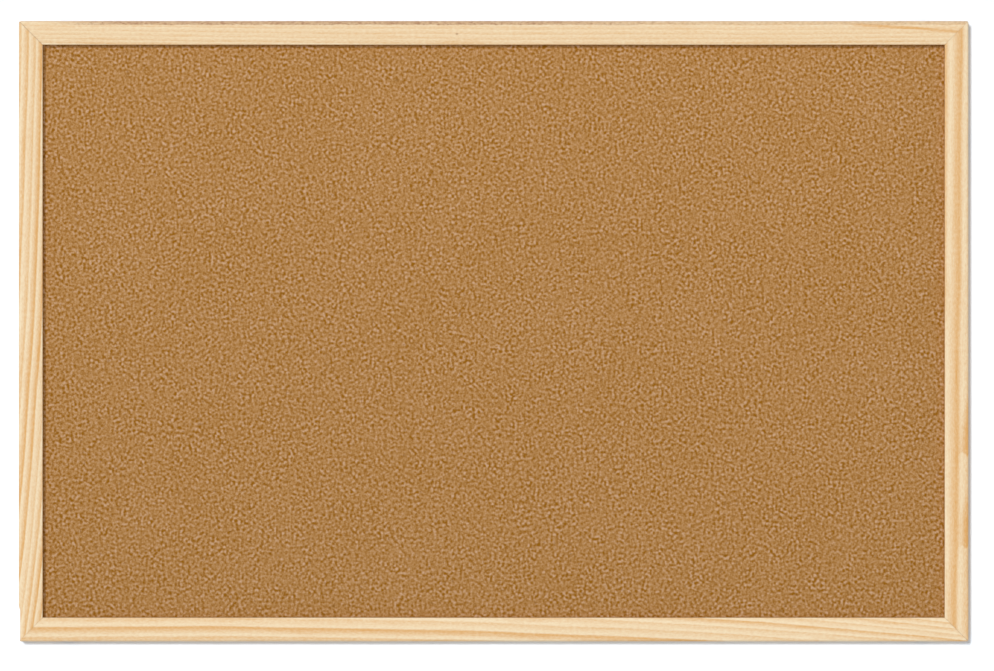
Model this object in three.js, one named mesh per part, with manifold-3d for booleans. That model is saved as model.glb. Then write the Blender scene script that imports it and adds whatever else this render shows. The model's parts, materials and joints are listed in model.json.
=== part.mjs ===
// Framed cork pin board. A rebated pine moulding, mitred at the corners, holds a panel of cork,
// softboard and hardboard. Wedge nails join the corners, framer's points keep the panel in, and two
// strap hangers with swinging D-rings hang the board on its wall.
// Millimetres. +X is right, +Z is up and the cork faces -Y. The origin is the middle of the wall
// plane, which the four rubber bumpers touch.
import * as THREE from 'three';
import { mergeVertices } from 'three/addons/utils/BufferGeometryUtils.js';
import Module from 'manifold-3d';

const wasm = await Module();
wasm.setup();

// Outside of the frame
const boardWidth = 600;
const boardHeight = 392;

// Moulding section: its width runs from the outside edge inwards, its depth from the face to the back
const mouldingWidth = 15;
const mouldingDepth = 18;
const rebateWidth = 4;
const lipThickness = 4.5;
const faceCrown = 0.3;
const outerArris = 1.5;
const innerArris = 0.5;
const backChamfer = 0.8;
const cornerRound = 1.2;
const mitreGlueGap = 0.3;

// Panel: three sheets laid in the rebate, the cork pinched thinner under the lip
const corkThickness = 2;
const corkProud = 0.4;
const coreThickness = 6;
const backingThickness = 2;
const sheetGlueGap = 0.1;
const panelFitGap = 0.4;
const corkEdgeGap = 0.3;

// Corner wedge nails, driven from the back across each mitre
const nailThickness = 0.6;
const nailLeg = 5;
const nailDepth = 9;
const nailSink = 0.3;
const nailsPerCorner = 2;
const nailMargin = 3;

// Framer's points, half in the wall of the rebate and half over the backing
const pointThickness = 0.5;
const pointWidth = 8;
const pointBite = 6;
const pointTail = 9;
const pointTip = 3.5;
const pointsPerRail = 4;
const pointsPerStile = 2;
const railPointInset = 75;
const pointHangerGap = 16;

// Strap hangers: one strip of sheet steel, folded round the bar of its D-ring
const hangerDrop = 70;
const strapSheet = 0.4;
const strapWidth = 6;
const strapFold = 3;
const strapEnd = 4.5;
const knucklePlay = 0.15;
const ringLeafGap = 0.2;

// D-rings, bent from wire, with the butt joint hidden in the fold of the strap
const wireDiameter = 1.6;
const ringInsideWidth = 8;
const ringLeg = 5.5;
const ringBend = 1.3;
const ringButtGap = 0.3;
const ringEdgeInset = 0.9;

// Hanger screws
const screwHeadDiameter = 5.6;
const screwHeadHeight = 1.7;
const screwDiameter = 3;
const screwLength = 12;
const screwTip = 3;
const screwRingGap = 3;
const screwSeatGap = 0.05;
const crossWidth = 0.9;
const crossSpan = 3.2;
const crossDepth = 1;

// Rubber bumpers, a little taller than the hangers
const bumperDiameter = 9;
const bumperFaceDiameter = 7;
const bumperInset = 30;
const bumperGlueGap = 0.1;
const hangerWallGap = 0.35;

// Gap round a piece that is let into another
const letInGap = 0.2;

// Facets on the arcs of each kind of piece
const sectionArcSteps = 4;
const strapArcSteps = 10;
const holeSides = 24;
const screwSides = 24;
const bumperSides = 32;
const wireSides = 10;
const wireSteps = 56;

// Places that follow from the sizes above, with depth measured from the front of the moulding
const quarterTurn = Math.PI / 2;
const rebateWall = mouldingWidth - rebateWidth;
const backFaceMiddle = (backChamfer + rebateWall) / 2;
const wireRadius = wireDiameter / 2;
const leafThickness = 2 * strapSheet;
const knuckleInside = wireRadius + knucklePlay;
const knuckleOutside = knuckleInside + strapSheet;
const knuckleHeight = leafThickness + ringLeafGap + wireRadius;
const standoff = knuckleHeight + knuckleOutside + hangerWallGap;
const faceY = -(standoff + mouldingDepth);
const ringHalfWidth = ringInsideWidth / 2 + wireRadius;
const ringReach = ringLeg + ringHalfWidth + wireRadius;
const screwDrop = ringReach + screwRingGap + screwHeadDiameter / 2;
const strapLength = screwDrop + strapEnd;
const hangerInset = Math.max(backFaceMiddle, ringHalfWidth + wireRadius + ringEdgeInset);
const knuckleZ = boardHeight / 2 - hangerDrop;
const screwZ = knuckleZ - screwDrop;
const stilePointInset = hangerDrop + strapLength + pointHangerGap;
const corkFront = lipThickness + sheetGlueGap;
const coreFront = corkFront + corkThickness + sheetGlueGap;
const backingFront = coreFront + coreThickness + sheetGlueGap;
const pointFront = backingFront + backingThickness + sheetGlueGap;

const pine = new THREE.MeshStandardMaterial({ color: 0xedcda0, roughness: 0.55, metalness: 0 });
const cork = new THREE.MeshStandardMaterial({ color: 0xb18351, roughness: 0.9, metalness: 0 });
const softboard = new THREE.MeshStandardMaterial({ color: 0xa98d66, roughness: 0.95, metalness: 0 });
const hardboard = new THREE.MeshStandardMaterial({ color: 0x7d5737, roughness: 0.7, metalness: 0 });
const steel = new THREE.MeshStandardMaterial({ color: 0xb9bbbd, roughness: 0.35, metalness: 1 });
const rubber = new THREE.MeshStandardMaterial({ color: 0x2b2b2c, roughness: 0.8, metalness: 0 });

function namedMesh(name, geometry, material) {
  const mesh = new THREE.Mesh(geometry, material);
  mesh.name = name;
  return mesh;
}

// A closed geometry as a solid that can be joined and cut
function solidOf(geometry) {
  const bare = geometry.clone();
  bare.deleteAttribute('normal');
  bare.deleteAttribute('uv');
  const merged = mergeVertices(bare);
  return new wasm.Manifold(new wasm.Mesh({
    numProp: 3,
    vertProperties: new Float32Array(merged.attributes.position.array),
    triVerts: new Uint32Array(merged.index.array),
  }));
}

function geometryOf(solid) {
  const mesh = solid.getMesh();
  const geometry = new THREE.BufferGeometry();
  geometry.setAttribute('position', new THREE.BufferAttribute(mesh.vertProperties, 3));
  geometry.setIndex(new THREE.BufferAttribute(mesh.triVerts, 1));
  geometry.computeVertexNormals();
  return geometry;
}

function cut(geometry, cutters) {
  const left = cutters.reduce((solid, cutter) => solid.subtract(solidOf(cutter)), solidOf(geometry));
  return geometryOf(left);
}

function outline(points) {
  return new THREE.Shape(points.map(([x, y]) => new THREE.Vector2(x, y)));
}

// A plan drawn in x and z, made solid between two depths along y
function plate(plan, fromDepth, toDepth) {
  const geometry = new THREE.ExtrudeGeometry(plan, {
    depth: toDepth - fromDepth,
    bevelEnabled: false,
    curveSegments: strapArcSteps,
  });
  return geometry.rotateX(quarterTurn).translate(0, toDepth, 0);
}

// A sheet centred in x and z, between two depths
function sheet(width, height, fromDepth, toDepth) {
  const thickness = toDepth - fromDepth;
  return new THREE.BoxGeometry(width, thickness, height).translate(0, fromDepth + thickness / 2, 0);
}

// Section of the moulding: eased arrises, a slightly crowned face, and the rebate open to the back
function mouldingSection() {
  const section = new THREE.Shape();
  const lipCorner = mouldingWidth - innerArris;
  section.moveTo(backChamfer, mouldingDepth);
  section.lineTo(0, mouldingDepth - backChamfer);
  section.absarc(outerArris, faceCrown + outerArris, outerArris, Math.PI, 3 * quarterTurn, false);
  section.quadraticCurveTo(mouldingWidth / 2, -faceCrown, lipCorner, faceCrown);
  section.absarc(lipCorner, faceCrown + innerArris, innerArris, -quarterTurn, 0, false);
  section.lineTo(mouldingWidth, lipThickness);
  section.lineTo(rebateWall, lipThickness);
  section.lineTo(rebateWall, mouldingDepth);
  return section;
}

// A length of moulding with both ends mitred: x from the outside edge, y from the face, z along it
function mitredMoulding(length) {
  const geometry = new THREE.ExtrudeGeometry(mouldingSection(), {
    depth: length,
    bevelEnabled: false,
    curveSegments: sectionArcSteps,
  });
  geometry.translate(0, 0, -length / 2);
  const position = geometry.attributes.position;
  const glueSetback = mitreGlueGap * Math.SQRT1_2;
  for (let i = 0; i < position.count; i += 1) {
    const end = Math.sign(position.getZ(i));
    position.setZ(i, end * (length / 2 - position.getX(i) - glueSetback));
  }
  return geometry;
}

// The frame's outline about one side, whose two outer corners are sanded round
function sandedOutline(length) {
  const plan = new THREE.Shape();
  const end = length / 2;
  plan.moveTo(mouldingWidth, -end);
  plan.lineTo(mouldingWidth, end);
  plan.absarc(cornerRound, end - cornerRound, cornerRound, quarterTurn, Math.PI, false);
  plan.absarc(cornerRound, cornerRound - end, cornerRound, Math.PI, 3 * quarterTurn, false);
  return plan;
}

// Distances of the wedge nails from the outside edge, spread over the back of the moulding
function nailPlaces() {
  const room = rebateWall - 2 * nailMargin;
  return Array.from({ length: nailsPerCorner }, (_, i) => nailMargin + (room * i) / (nailsPerCorner - 1));
}

// A wedge nail bends on the mitre line, with a leg along each moulding. The gap widens it to its pocket
function wedgeNail(place, end, length, gap, fromDepth, toDepth) {
  const near = place - nailThickness / 2 - gap;
  const far = place + nailThickness / 2 + gap;
  const tip = place + nailLeg + gap;
  const corner = [[near, near], [tip, near], [tip, far], [far, far], [far, tip], [near, tip]];
  const plan = outline(corner.map(([inward, along]) => [inward, end * (length / 2 - along)]));
  return plate(plan, fromDepth, toDepth);
}

// A framer's point lies across the wall of the rebate. The gap widens it to its slot
function framersPoint(along, gap, fromDepth, toDepth) {
  const half = pointWidth / 2 + gap;
  const tip = rebateWall - pointBite - gap;
  const tail = rebateWall + pointTail;
  const plan = outline([
    [tail, along - half],
    [tail, along + half],
    [tip + pointTip, along + half],
    [tip, along],
    [tip + pointTip, along - half],
  ]);
  return plate(plan, fromDepth, toDepth);
}

function pointPlaces(count, inset, length) {
  const first = inset - length / 2;
  const step = (length - 2 * inset) / (count - 1);
  return Array.from({ length: count }, (_, i) => first + step * i);
}

// The pilot hole of a hanger screw, in a stile's own frame
function pilotHole(along) {
  const depth = screwLength - leafThickness + 2 * letInGap;
  const radius = screwDiameter / 2 + letInGap;
  const hole = new THREE.CylinderGeometry(radius, radius, depth, holeSides);
  return hole.translate(hangerInset, mouldingDepth + letInGap - depth / 2, along);
}

// One side of the frame, turned into place: the moulding, its points and the nails of its far corner
function frameSide({ name, corner, length, turn, place, points, screws }) {
  const side = new THREE.Group();
  side.position.set(place[0], faceY, place[1]);
  side.rotation.y = turn * quarterTurn;

  const nailBack = mouldingDepth - nailSink;
  const nailFront = nailBack - nailDepth;
  const pockets = [1, -1].flatMap((end) => nailPlaces().map((inward) => (
    wedgeNail(inward, end, length, letInGap, nailFront - letInGap, mouldingDepth + letInGap))));
  const slots = points.map((along) => (
    framersPoint(along, letInGap, pointFront - letInGap, pointFront + pointThickness + letInGap)));
  const outside = plate(sandedOutline(length), -letInGap, mouldingDepth + letInGap);
  const sanded = solidOf(mitredMoulding(length)).intersect(solidOf(outside));
  const moulding = cut(geometryOf(sanded), [...pockets, ...slots, ...screws.map(pilotHole)]);
  side.add(namedMesh(name, moulding, pine));

  nailPlaces().forEach((inward, i) => {
    const nail = wedgeNail(inward, 1, length, 0, nailFront, nailBack);
    side.add(namedMesh(`${corner}_wedge_nail_${i + 1}`, nail, steel));
  });
  points.forEach((along, i) => {
    const point = framersPoint(along, 0, pointFront, pointFront + pointThickness);
    side.add(namedMesh(`${name}_framers_point_${i + 1}`, point, steel));
  });
  return side;
}

// The four sides follow each other clockwise, seen from the front, each ending at the corner it names
function frame() {
  const group = new THREE.Group();
  const railPoints = pointPlaces(pointsPerRail, railPointInset, boardWidth);
  const stilePoints = pointPlaces(pointsPerStile, stilePointInset, boardHeight);
  const rail = { length: boardWidth, points: railPoints, screws: [] };
  const stile = { length: boardHeight, points: stilePoints };
  const halfWidth = boardWidth / 2;
  const halfHeight = boardHeight / 2;
  const sides = [
    { name: 'left_stile', corner: 'top_left', place: [-halfWidth, 0], ...stile, screws: [screwZ] },
    { name: 'top_rail', corner: 'top_right', place: [0, halfHeight], ...rail },
    { name: 'right_stile', corner: 'bottom_right', place: [halfWidth, 0], ...stile, screws: [-screwZ] },
    { name: 'bottom_rail', corner: 'bottom_left', place: [0, -halfHeight], ...rail },
  ];
  sides.forEach((side, i) => group.add(frameSide({ ...side, turn: i })));
  return group;
}

// The cork fills the opening, standing proud of the margin that the lip pinches
function corkSheet(width, height) {
  const openingWidth = boardWidth - 2 * mouldingWidth - 2 * corkEdgeGap;
  const openingHeight = boardHeight - 2 * mouldingWidth - 2 * corkEdgeGap;
  const corkBack = corkFront + corkThickness;
  const margin = solidOf(sheet(width, height, corkFront, corkBack));
  const face = solidOf(sheet(openingWidth, openingHeight, corkFront - corkProud, corkBack));
  return geometryOf(margin.add(face));
}

function panel() {
  const group = new THREE.Group();
  group.position.y = faceY;
  const width = boardWidth - 2 * rebateWall - 2 * panelFitGap;
  const height = boardHeight - 2 * rebateWall - 2 * panelFitGap;
  const core = sheet(width, height, coreFront, coreFront + coreThickness);
  const backing = sheet(width, height, backingFront, backingFront + backingThickness);
  group.add(namedMesh('cork_sheet', corkSheet(width, height), cork));
  group.add(namedMesh('softboard_core', core, softboard));
  group.add(namedMesh('hardboard_backing', backing, hardboard));
  return group;
}

// Angles at which the two tangents from a point touch a circle round the knuckle
function tangentAngles(x, y, radius) {
  const toPoint = Math.atan2(y - knuckleHeight, x);
  const spread = Math.acos(radius / Math.hypot(x, y - knuckleHeight));
  return [toPoint + spread, toPoint - spread];
}

// Side of the folded strap: two leaves that part at the fold and go round the bar of the ring
function strapProfile() {
  const profile = new THREE.Shape();
  const [lowerTouch] = tangentAngles(-strapFold, 0, knuckleOutside);
  const [, upperTouch] = tangentAngles(-strapFold, leafThickness, knuckleOutside);
  profile.moveTo(-strapLength, 0);
  profile.lineTo(-strapFold, 0);
  profile.absarc(0, knuckleHeight, knuckleOutside, lowerTouch, upperTouch + 2 * Math.PI, false);
  profile.lineTo(-strapFold, leafThickness);
  profile.lineTo(-strapLength, leafThickness);

  const eye = new THREE.Path();
  const partingX = -strapFold + strapSheet;
  const [lowerInside, upperInside] = tangentAngles(partingX, strapSheet, knuckleInside);
  eye.absarc(0, knuckleHeight, knuckleInside, lowerInside, upperInside + 2 * Math.PI, false);
  eye.lineTo(partingX, strapSheet);
  profile.holes.push(eye);
  return profile;
}

// Plan of the strap, with its free end rounded about the screw
function strapPlan() {
  const plan = new THREE.Shape();
  const half = strapWidth / 2;
  const roundMiddle = half - strapLength;
  plan.moveTo(half, knuckleOutside);
  plan.lineTo(-half, knuckleOutside);
  plan.absarc(0, roundMiddle, half, Math.PI, 2 * Math.PI, false);
  return plan;
}

function strap() {
  const folded = new THREE.ExtrudeGeometry(strapProfile(), {
    depth: strapWidth,
    bevelEnabled: false,
    curveSegments: strapArcSteps,
  });
  folded.translate(0, 0, -strapWidth / 2);
  const alongStrap = new THREE.Vector3(0, 0, 1);
  const offTheBoard = new THREE.Vector3(0, 1, 0);
  const acrossStrap = new THREE.Vector3(-1, 0, 0);
  folded.applyMatrix4(new THREE.Matrix4().makeBasis(alongStrap, offTheBoard, acrossStrap));
  const trimmed = solidOf(folded).intersect(solidOf(plate(strapPlan(), -letInGap, standoff)));
  const holeRadius = screwDiameter / 2 + letInGap;
  const hole = new THREE.CylinderGeometry(holeRadius, holeRadius, 2 * standoff, holeSides);
  return cut(geometryOf(trimmed), [hole.translate(0, 0, -screwDrop)]);
}

// A flat path in x and z, raised into space
class FlatPath extends THREE.Curve {
  constructor(path) {
    super();
    this.path = path;
  }

  getPoint(t, target = new THREE.Vector3()) {
    const point = this.path.getPointAt(t);
    return target.set(point.x, 0, point.y);
  }
}

// The D-ring hangs from its bar, which lies along x through the origin
function ringWire() {
  const path = new THREE.Path();
  const bendMiddle = ringHalfWidth - ringBend;
  path.moveTo(ringButtGap / 2, 0);
  path.lineTo(bendMiddle, 0);
  path.absarc(bendMiddle, -ringBend, ringBend, quarterTurn, 0, true);
  path.absarc(0, -ringLeg, ringHalfWidth, 0, -Math.PI, true);
  path.absarc(-bendMiddle, -ringBend, ringBend, Math.PI, quarterTurn, true);
  path.lineTo(-ringButtGap / 2, 0);
  const wire = new THREE.Shape().absarc(0, 0, wireRadius, 0, 2 * Math.PI, false);
  return new THREE.ExtrudeGeometry(wire, {
    steps: wireSteps,
    extrudePath: new FlatPath(path),
    curveSegments: wireSides / 2,
  });
}

// A pan-head wood screw along y: the head seats at the origin and the shank goes in along -y
function screw() {
  const headRadius = screwHeadDiameter / 2;
  const shankRadius = screwDiameter / 2;
  const profile = new THREE.Path();
  profile.moveTo(0, -screwLength);
  profile.lineTo(shankRadius, screwTip - screwLength);
  profile.lineTo(shankRadius, 0);
  profile.lineTo(headRadius, 0);
  profile.quadraticCurveTo(headRadius, screwHeadHeight, headRadius / 2, screwHeadHeight);
  profile.lineTo(0, screwHeadHeight);
  const turned = new THREE.LatheGeometry(profile.getPoints(sectionArcSteps), screwSides);
  const crossMiddle = screwHeadHeight - crossDepth / 2 + letInGap / 2;
  const arms = [[crossSpan, crossWidth], [crossWidth, crossSpan]].map(([x, z]) => (
    new THREE.BoxGeometry(x, crossDepth + letInGap, z).translate(0, crossMiddle, 0)));
  return cut(turned, arms);
}

// Strap, ring and screw of one hanger, set on the back of a stile
function hanger(hand, x) {
  const group = new THREE.Group();
  group.position.set(x, -standoff, knuckleZ);
  group.add(namedMesh(`${hand}_hanger_strap`, strap(), steel));
  const ring = namedMesh(`${hand}_hanging_ring`, ringWire(), steel);
  ring.position.y = knuckleHeight;
  const fixing = namedMesh(`${hand}_hanger_screw`, screw(), steel);
  fixing.position.set(0, leafThickness + screwSeatGap, -screwDrop);
  group.add(ring, fixing);
  return group;
}

// A bumper stands on the back of the moulding, and its flat face lies in the wall plane
function bumper() {
  const radius = bumperDiameter / 2;
  const faceRadius = bumperFaceDiameter / 2;
  const base = bumperGlueGap - standoff;
  const profile = new THREE.Path();
  profile.moveTo(0, base);
  profile.lineTo(radius, base);
  profile.lineTo(radius, base / 2);
  profile.quadraticCurveTo(radius, 0, faceRadius, 0);
  profile.lineTo(0, 0);
  return new THREE.LatheGeometry(profile.getPoints(sectionArcSteps), bumperSides);
}

function bumpers() {
  const group = new THREE.Group();
  const x = boardWidth / 2 - bumperInset;
  const z = boardHeight / 2 - backFaceMiddle;
  [['top_left', -x, z], ['top_right', x, z], ['bottom_left', -x, -z], ['bottom_right', x, -z]]
    .forEach(([corner, acrossBoard, upBoard]) => {
      const pad = namedMesh(`${corner}_bumper`, bumper(), rubber);
      pad.position.set(acrossBoard, 0, upBoard);
      group.add(pad);
    });
  return group;
}

const board = new THREE.Group();
const hangerX = boardWidth / 2 - hangerInset;
board.add(frame(), panel(), hanger('left', -hangerX), hanger('right', hangerX), bumpers());

export default board;
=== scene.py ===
"""Framed cork pin board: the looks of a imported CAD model, laid out as a Blender add-on.

The CAD model is the fixed frame. New surfaces stand for the pine mouldings, the cork face, the corner
nails, the framer's points, the folded hangers with their rings and screws, and the bumpers. Only the
softboard core and the hardboard backing keep their CAD shape and get a finish. Lengths are metres.
+X is right, +Z is up, the cork faces -Y and the wall is at y = 0.
"""

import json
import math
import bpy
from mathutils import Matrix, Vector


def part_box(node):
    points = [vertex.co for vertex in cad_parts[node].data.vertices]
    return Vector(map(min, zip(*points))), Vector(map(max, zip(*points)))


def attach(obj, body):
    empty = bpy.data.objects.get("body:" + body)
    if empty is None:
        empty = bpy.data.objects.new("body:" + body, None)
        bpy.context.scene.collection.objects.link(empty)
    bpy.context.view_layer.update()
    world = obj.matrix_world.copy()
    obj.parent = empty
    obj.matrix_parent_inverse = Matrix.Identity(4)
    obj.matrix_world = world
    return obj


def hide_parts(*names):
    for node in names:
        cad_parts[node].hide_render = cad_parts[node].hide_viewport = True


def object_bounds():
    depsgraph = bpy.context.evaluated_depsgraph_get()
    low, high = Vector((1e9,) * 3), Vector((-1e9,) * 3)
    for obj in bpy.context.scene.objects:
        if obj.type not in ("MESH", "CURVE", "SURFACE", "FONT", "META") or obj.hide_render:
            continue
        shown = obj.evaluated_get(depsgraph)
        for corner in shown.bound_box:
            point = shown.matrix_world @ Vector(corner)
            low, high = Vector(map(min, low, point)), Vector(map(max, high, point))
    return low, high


bl_info = {
    "name": "Framed Cork Pin Board",
    "version": (1, 0, 0),
    "blender": (4, 5, 0),
    "location": "View3D > Sidebar > Pin Board",
    "description": "Builds the surfaces, finishes and studio of a framed cork pin board",
    "category": "Object",
}

from typing import NamedTuple

import bpy
import numpy as np
from bpy.props import FloatProperty, FloatVectorProperty, PointerProperty
from mathutils import Euler, Vector

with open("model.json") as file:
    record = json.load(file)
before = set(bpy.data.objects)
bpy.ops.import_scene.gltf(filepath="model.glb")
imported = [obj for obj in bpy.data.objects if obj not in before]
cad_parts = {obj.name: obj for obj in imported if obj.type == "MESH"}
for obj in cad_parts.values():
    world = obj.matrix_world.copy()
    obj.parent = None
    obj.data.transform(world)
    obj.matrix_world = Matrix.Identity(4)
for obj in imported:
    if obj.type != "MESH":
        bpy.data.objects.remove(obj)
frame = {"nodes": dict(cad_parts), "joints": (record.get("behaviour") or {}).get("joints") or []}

MM = 0.001
QUARTER_TURN = math.pi / 2

# The picture's width, and the board's width and the place of its middle in the picture's pixels
PICTURE_WIDTH = 994
BOARD_PIXELS_WIDE = 949.8
BOARD_PIXELS_RIGHT = -3.35
BOARD_PIXELS_UP = 4.3

# Places taken from the CAD model
CAD_LOW, CAD_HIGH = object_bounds()
STILE_LOW, STILE_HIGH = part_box("left_stile")
CORK_LOW, CORK_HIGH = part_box("cork_sheet")
HALF_WIDTH = CAD_HIGH.x
HALF_HEIGHT = CAD_HIGH.z
FACE_Y = STILE_LOW.y
BACK_Y = STILE_HIGH.y
MOULDING_WIDTH = STILE_HIGH.x - STILE_LOW.x
MOULDING_DEPTH = BACK_Y - FACE_Y
TOWARDS_WALL = (0.0, 1.0, 0.0)

# Studio sizes: the wall stands just behind the bumpers
WALL_Y = 0.2 * MM
WALL_REACH = 3.0
WALL_TOP = 2.6
FLOOR_REACH = 14.0


def display(red, green, blue):
    """A colour as a screen shows it, 0 to 255, turned into the linear light that shaders use."""
    shares = np.array((red, green, blue)) / 255
    linear = np.where(shares <= 0.04045, shares / 12.92, ((shares + 0.055) / 1.055) ** 2.4)
    return tuple(float(share) for share in linear)


def toned(colour, share):
    """The same colour, darker or paler."""
    return tuple(part * share for part in colour)


def length_setting(name, description, default):
    return FloatProperty(
        name=name, description=description, default=default, min=0, unit="LENGTH", precision=5)


def colour_setting(name, description, default):
    return FloatVectorProperty(
        name=name, description=description, default=default, subtype="COLOR", min=0, max=1)


def share_setting(name, description, default):
    return FloatProperty(
        name=name, description=description, default=default, min=0, max=1, subtype="FACTOR")


class PineSettings(bpy.types.PropertyGroup):
    """Moulding section and colours of the pine frame."""

    lip_thickness: length_setting("Lip thickness", "Depth of the lip in front of the cork", 4.5 * MM)
    rebate_width: length_setting("Rebate width", "How far the lip laps over the panel", 4 * MM)
    face_crown: length_setting("Face crown", "Rise of the face between its arrises", 0.3 * MM)
    outer_arris: length_setting("Outer arris", "Radius of the outer front edge", 1.5 * MM)
    inner_arris: length_setting("Inner arris", "Radius of the edge beside the cork", 0.5 * MM)
    back_chamfer: length_setting("Back chamfer", "Width of the bevel on the outer back edge", 0.8 * MM)
    corner_round: length_setting("Corner round", "Radius of the sanded outside corners", 1.2 * MM)
    sanding: share_setting("Sanding", "How much hand sanding varies the arrises", 0.2)
    early_wood: colour_setting("Early wood", "Pale wood between the rings", display(239, 219, 184))
    late_wood: colour_setting("Late wood", "Orange wood of the rings", display(218, 165, 98))
    torn_edge: colour_setting("Torn edge", "Rough saw-torn wood on the top rail", display(190, 152, 116))
    stain: colour_setting("Stain", "Glue lines, knot and specks of the torn edge", display(150, 100, 62))


class CorkSettings(bpy.types.PropertyGroup):
    """Granules and colours of the cork face."""

    granule: length_setting("Granule", "Size of a cork granule", 2.4 * MM)
    relief: length_setting("Relief", "Height of the granules over their joints", 0.08 * MM)
    margin_drop: length_setting("Margin drop", "How far the lip pinches the cork", 0.4 * MM)
    pale: colour_setting("Pale cork", "Pinkish cork of the joints", display(199, 162, 132))
    middle: colour_setting("Middle cork", "Cork between joints and granules", display(177, 132, 80))
    dark: colour_setting("Dark cork", "Ochre cork of the granules", display(144, 92, 6))
    bark: colour_setting("Bark", "Specks of bark among the granules", display(122, 76, 4))


class BackSettings(bpy.types.PropertyGroup):
    """Colours of the panel's back, the fixings and the bumpers."""

    softboard: colour_setting("Softboard", "Felted wood fibre", display(169, 141, 102))
    hardboard: colour_setting("Hardboard", "Pressed brown wood fibre", display(125, 87, 55))
    steel: colour_setting("Steel", "Bright spring steel", display(190, 190, 188))
    zinc: colour_setting("Zinc", "Zinc-plated steel", display(205, 207, 210))
    rubber: colour_setting("Rubber", "Black bumper rubber", display(40, 40, 42))


class StageSettings(bpy.types.PropertyGroup):
    """Wall, floor, lamps and camera."""

    wall: colour_setting("Wall", "Cool white backdrop", (0.72, 0.77, 0.84))
    floor: colour_setting("Floor", "Pale floor", (0.8, 0.8, 0.79))
    room_light: share_setting("Room light", "Even light from all sides", 0.42)
    key_light: share_setting("Key light", "Light of the main lamp on a face turned to the camera", 0.465)
    floor_drop: length_setting("Floor drop", "Height of the board's middle over the floor", 1.4)
    camera_distance: length_setting("Camera distance", "From the camera to the frame's face", 8.0)


class Wire:
    """An output socket of a finish. Arithmetic between wires and numbers adds Math nodes."""

    def __init__(self, finish, socket):
        self.finish = finish
        self.socket = socket

    def out(self, name):
        """Another output of the same node."""
        return Wire(self.finish, self.socket.node.outputs[name])

    def __add__(self, other):
        return self.finish.maths("ADD", self, other)

    def __radd__(self, other):
        return self.finish.maths("ADD", other, self)

    def __sub__(self, other):
        return self.finish.maths("SUBTRACT", self, other)

    def __rsub__(self, other):
        return self.finish.maths("SUBTRACT", other, self)

    def __mul__(self, other):
        return self.finish.maths("MULTIPLY", self, other)

    def __rmul__(self, other):
        return self.finish.maths("MULTIPLY", other, self)

    def __truediv__(self, other):
        return self.finish.maths("DIVIDE", self, other)

    def __pow__(self, other):
        return self.finish.maths("POWER", self, other)


class Finish:
    """The node tree of a new material or world, with a method for any node and short names for some."""

    def __init__(self, owner):
        self.owner = owner
        owner.use_nodes = True
        self.tree = owner.node_tree
        self.tree.nodes.clear()

    def node(self, kind, inputs=None, output=0, **settings):
        """Adds a node: its settings first, then the value of each socket or the wire into it."""
        made = self.tree.nodes.new(kind)
        for name, value in settings.items():
            setattr(made, name, value)
        for name, value in (inputs or {}).items():
            socket = made.inputs[name]
            if isinstance(value, Wire):
                self.tree.links.new(value.socket, socket)
            elif socket.type == "RGBA":
                socket.default_value = (*value[:3], 1)
            else:
                socket.default_value = value
        return Wire(self, made.outputs[output]) if made.outputs else made

    def maths(self, operation, *values):
        return self.node("ShaderNodeMath", dict(enumerate(values)), operation=operation)

    def place(self):
        """Place on the piece, in metres."""
        return self.node("ShaderNodeTexCoord", output="Object")

    def stretched(self, vector, scales):
        return self.node("ShaderNodeVectorMath", {0: vector, 1: scales}, operation="MULTIPLY")

    def parts(self, vector):
        """The three measures of a vector."""
        split = self.node("ShaderNodeSeparateXYZ", {0: vector})
        return [split.out(axis) for axis in "XYZ"]

    def noise(self, vector, scale=1.0, detail=2.0, roughness=0.5):
        """Even noise about 0.5."""
        return self.node("ShaderNodeTexNoise", {
            "Vector": vector, "Scale": scale, "Detail": detail, "Roughness": roughness,
        }, "Fac")

    def drawn_noise(self, vector, scales, detail=2.0, roughness=0.5):
        """Noise about 0, drawn out along the axes that have the smaller scales."""
        return self.noise(self.stretched(vector, scales), 1.0, detail, roughness) - 0.5

    def rise(self, value, low, high):
        """Smooth step from 0 at low to 1 at high."""
        return self.node("ShaderNodeMapRange", {
            "Value": value, "From Min": low, "From Max": high,
        }, interpolation_type="SMOOTHSTEP")

    def mix(self, share, first, second):
        """Blend of two colours."""
        return self.node("ShaderNodeMix", {0: share, 6: first, 7: second}, 2, data_type="RGBA")

    def bump(self, height, distance, strength):
        return self.node("ShaderNodeBump", {
            "Height": height, "Distance": distance, "Strength": strength,
        })

    def principled(self, inputs):
        return self.node("ShaderNodeBsdfPrincipled", inputs)

    def done(self, shader):
        """Sends a shader to the material's output and hands the material back."""
        self.node("ShaderNodeOutputMaterial", {"Surface": shader})
        return self.owner


def new_finish(name):
    return Finish(bpy.data.materials.new(name))


class Grain(NamedTuple):
    """How the growth rings run through one side of the frame, in millimetres.

    The spacings are those at the first end, the middle and the last end of the side. The rings fan out
    from the datum, a place across the side at its middle, where start is their phase. They lean along
    the side and bow towards its ends. Base is the tone of pale wood, contrast what a ring adds to it,
    and softness how gently a ring ends. Torn is the strength of a torn strip on the outer edge. A knot
    has a place along and across. A flame is a length of the side over which the next ring comes in at
    the outer edge. A stray ring crosses the others, between two places along and across.
    """

    spacings: tuple
    start: float
    lean: float
    bow: float
    base: float
    contrast: float
    softness: float
    torn: float = 0.0
    knot: tuple = ()
    flames: tuple = ()
    datum: float = 0.0
    stray: tuple = ()


class Side(NamedTuple):
    """One side of the frame, clockwise seen from the front. A pair is for its first and last end.

    Pared is how far the outer edge is planed back near the first end.
    """

    name: str
    turn: int
    place: tuple
    length: float
    grain: Grain
    glue_lines: tuple
    pared: float = 0.0


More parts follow.
